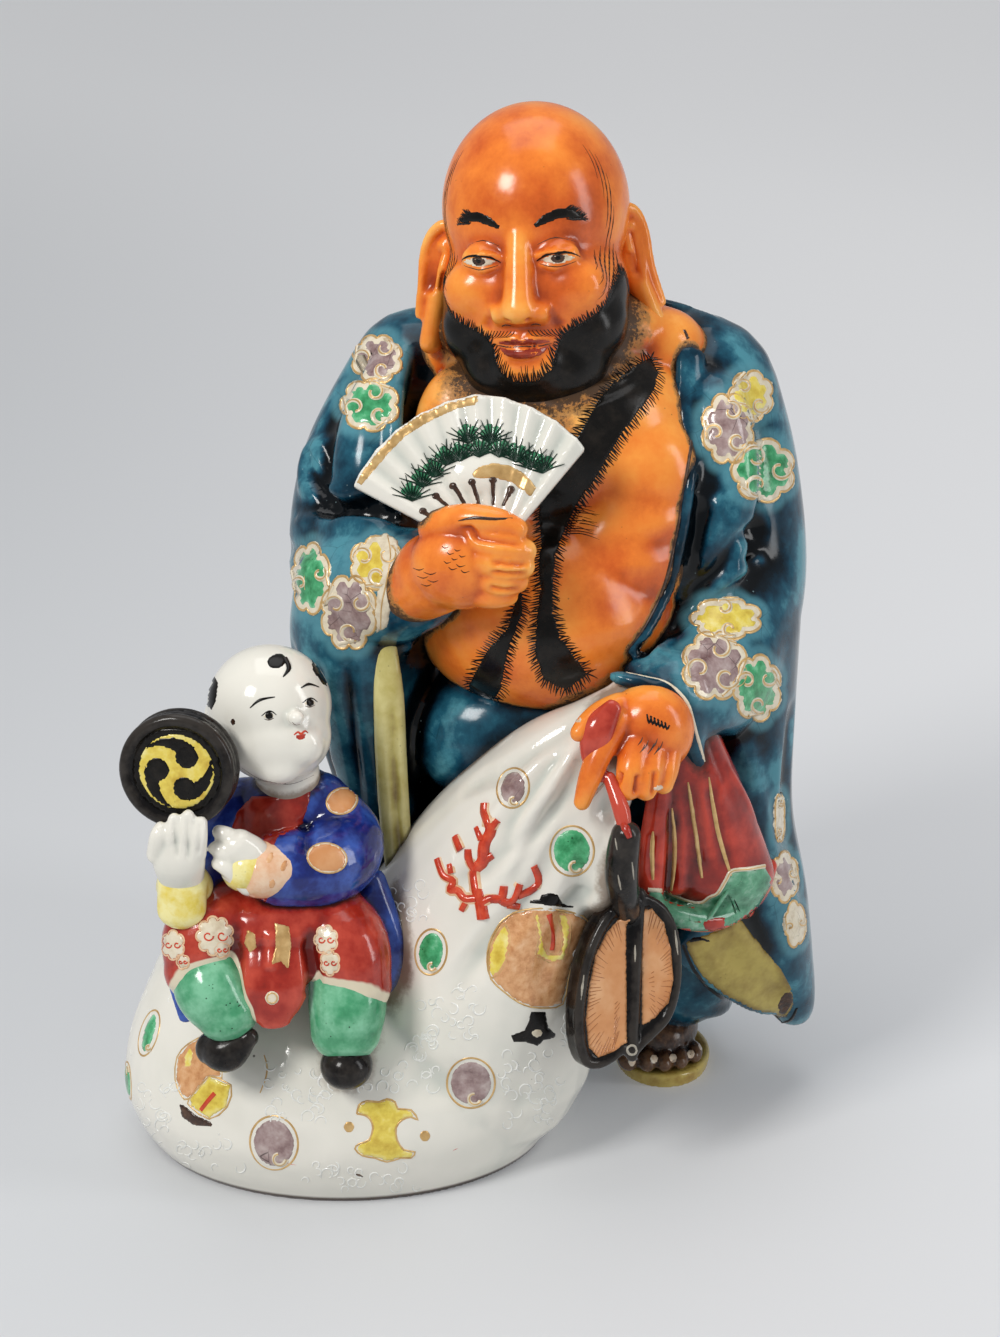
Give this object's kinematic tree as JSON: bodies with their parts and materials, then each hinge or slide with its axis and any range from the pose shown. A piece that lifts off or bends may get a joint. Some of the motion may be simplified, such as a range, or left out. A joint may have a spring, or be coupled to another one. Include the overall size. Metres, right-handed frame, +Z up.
{
  "type": "hotei figure",
  "caption": "Standing glazed porcelain Hotei with a folding fan and a rigid war fan, leaning on a great sack on which a boy with a hand drum sits. Flat underside.",
  "frame": {"origin": "centre of the bounding box's bottom face, on the plane the figure stands on", "axes": "+Z up, the figure faces -Y, +X to the viewer's right"},
  "size_m": [0.2088, 0.1704, 0.3003],
  "materials": {
    "glazed_porcelain": "glazed porcelain with overglaze enamels and gilding"
  },
  "bodies": {
    "root": {"hotei_figure": "glazed_porcelain"}
  },
  "joints": []
}
